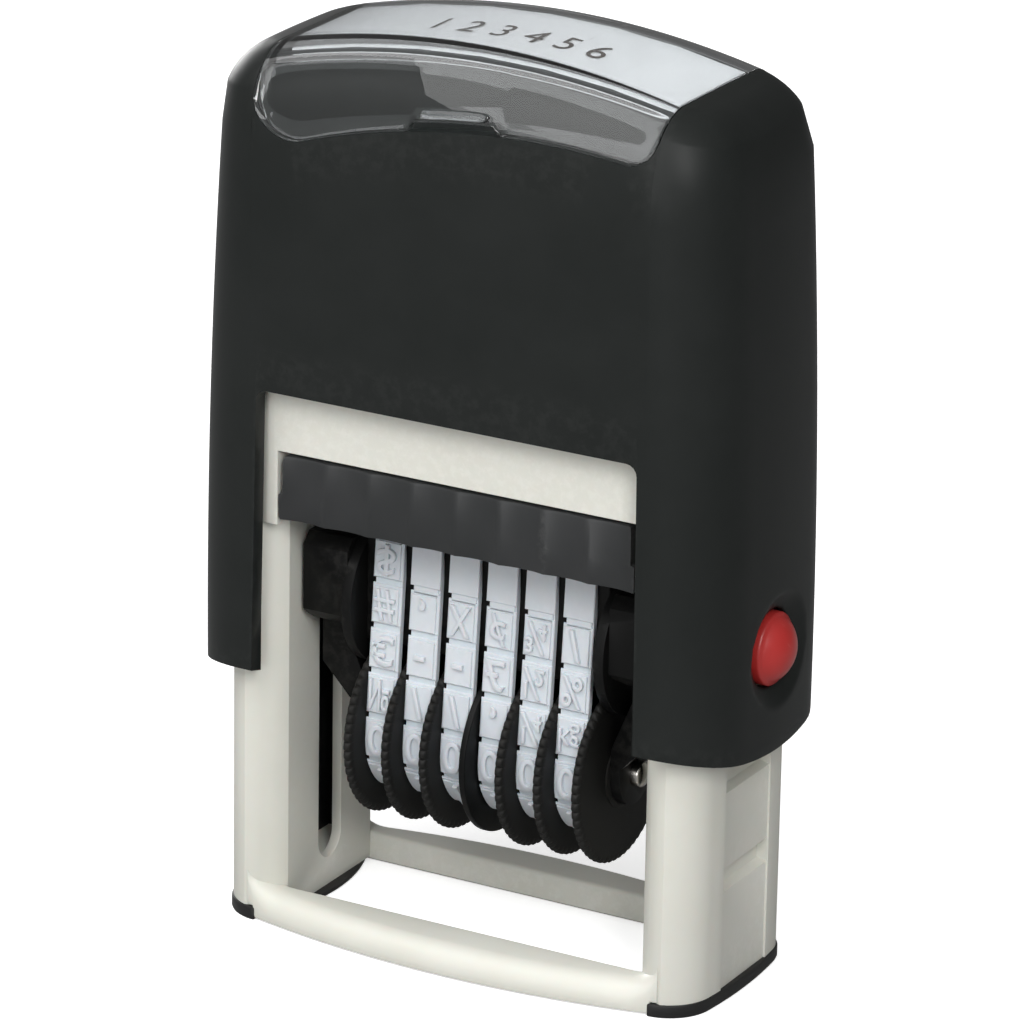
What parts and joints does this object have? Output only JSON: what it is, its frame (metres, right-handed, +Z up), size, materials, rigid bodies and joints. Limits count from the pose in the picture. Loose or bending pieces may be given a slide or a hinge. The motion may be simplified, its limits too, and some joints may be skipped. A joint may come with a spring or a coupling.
{
  "type": "self-inking numbering machine",
  "caption": "Self-inking hand stamp: a black cap slides down a light two-column frame and swings a set of number bands with thumb wheels from the ink pad to the paper.",
  "frame": {"origin": "centre of the resting face, under the middle of the frame", "axes": "+X along the row of bands, from the first band to the last; -Y towards the front; +Z up, against the stroke"},
  "size_m": [0.065, 0.0284, 0.0968],
  "materials": {
    "frame_plastic": "moulded, satin, warm light grey",
    "cap_plastic": "moulded, fine matt, black",
    "foot_plastic": "moulded, satin, black",
    "unit_plastic": "moulded, semi-matt, black",
    "wheel_plastic": "moulded, knurled, semi-matt, black",
    "cartridge_plastic": "moulded, semi-matt, dark grey",
    "pad_felt": "felt soaked with dark ink",
    "band_rubber": "moulded, matt, light bluish grey",
    "window_clear": "clear moulded plastic, polished",
    "card_paper": "white card, plain",
    "button_plastic": "moulded, satin gloss, red",
    "axle_steel": "turned and polished",
    "spring_steel": "drawn spring wire",
    "crank_metal": "zinc plated pressing"
  },
  "bodies": {
    "base": {"base_frame": "frame_plastic", "foot_left": "foot_plastic", "foot_right": "foot_plastic"},
    "cartridge": {"ink_cartridge": "cartridge_plastic", "ink_pad": "pad_felt"},
    "cap": {"cap_shell": "cap_plastic", "inner_slider": "unit_plastic", "index_card": "card_paper", "main_spring": "spring_steel"},
    "index_cover": {"index_window": "window_clear"},
    "button_left": {"lock_button_left": "button_plastic"},
    "button_right": {"lock_button_right": "button_plastic"},
    "carrier": {"arm_left": "unit_plastic", "arm_right": "unit_plastic", "platen": "unit_plastic", "wheel_axle": "axle_steel", "centre_divider": "unit_plastic", "flip_crank_left": "crank_metal", "flip_crank_right": "crank_metal", "band_1": "band_rubber", "band_2": "band_rubber", "band_3": "band_rubber", "band_4": "band_rubber", "band_5": "band_rubber", "band_6": "band_rubber"},
    "wheel_1": {"number_wheel_1": "wheel_plastic"},
    "wheel_2": {"number_wheel_2": "wheel_plastic"},
    "wheel_3": {"number_wheel_3": "wheel_plastic"},
    "wheel_4": {"number_wheel_4": "wheel_plastic"},
    "wheel_5": {"number_wheel_5": "wheel_plastic"},
    "wheel_6": {"number_wheel_6": "wheel_plastic"}
  },
  "joints": [
    {"name": "cartridge_pull", "type": "slide", "parent": "base", "child": "cartridge", "axis": [0, 1, 0], "range_m": [-0.026, 0]},
    {"name": "cap_press", "type": "slide", "parent": "base", "child": "cap", "axis": [0, 0, -1], "range_m": [0, 0.024], "stiffness_N_per_m": 350, "springref_m": -0.008, "deforming": ["main_spring"]},
    {"name": "index_cover_lift", "type": "slide", "parent": "cap", "child": "index_cover", "axis": [0, 0, 1], "range_m": [0, 0.012]},
    {"name": "lock_press_left", "type": "slide", "parent": "cap", "child": "button_left", "axis": [1, 0, 0], "range_m": [0, 0.0011], "stiffness_N_per_m": 400, "springref_m": -0.002},
    {"name": "lock_press_right", "type": "slide", "parent": "cap", "child": "button_right", "axis": [-1, 0, 0], "range_m": [0, 0.0011], "stiffness_N_per_m": 400, "springref_m": -0.002},
    {"name": "carrier_flip", "type": "hinge", "parent": "cap", "child": "carrier", "pos_m": [0, 0, 0.035], "axis": [1, 0, 0], "range_deg": [0, 180]},
    {"name": "wheel_turn_1", "type": "hinge", "parent": "carrier", "child": "wheel_1", "pos_m": [0, 0, 0.02075], "axis": [1, 0, 0], "continuous": true},
    {"name": "wheel_turn_2", "type": "hinge", "parent": "carrier", "child": "wheel_2", "pos_m": [0, 0, 0.02075], "axis": [1, 0, 0], "continuous": true},
    {"name": "wheel_turn_3", "type": "hinge", "parent": "carrier", "child": "wheel_3", "pos_m": [0, 0, 0.02075], "axis": [1, 0, 0], "continuous": true},
    {"name": "wheel_turn_4", "type": "hinge", "parent": "carrier", "child": "wheel_4", "pos_m": [0, 0, 0.02075], "axis": [1, 0, 0], "continuous": true},
    {"name": "wheel_turn_5", "type": "hinge", "parent": "carrier", "child": "wheel_5", "pos_m": [0, 0, 0.02075], "axis": [1, 0, 0], "continuous": true},
    {"name": "wheel_turn_6", "type": "hinge", "parent": "carrier", "child": "wheel_6", "pos_m": [0, 0, 0.02075], "axis": [1, 0, 0], "continuous": true}
  ],
  "couplings": [
    {"joint": "carrier_flip", "follows": "cap_press", "rad_per_m": 130.9}
  ]
}
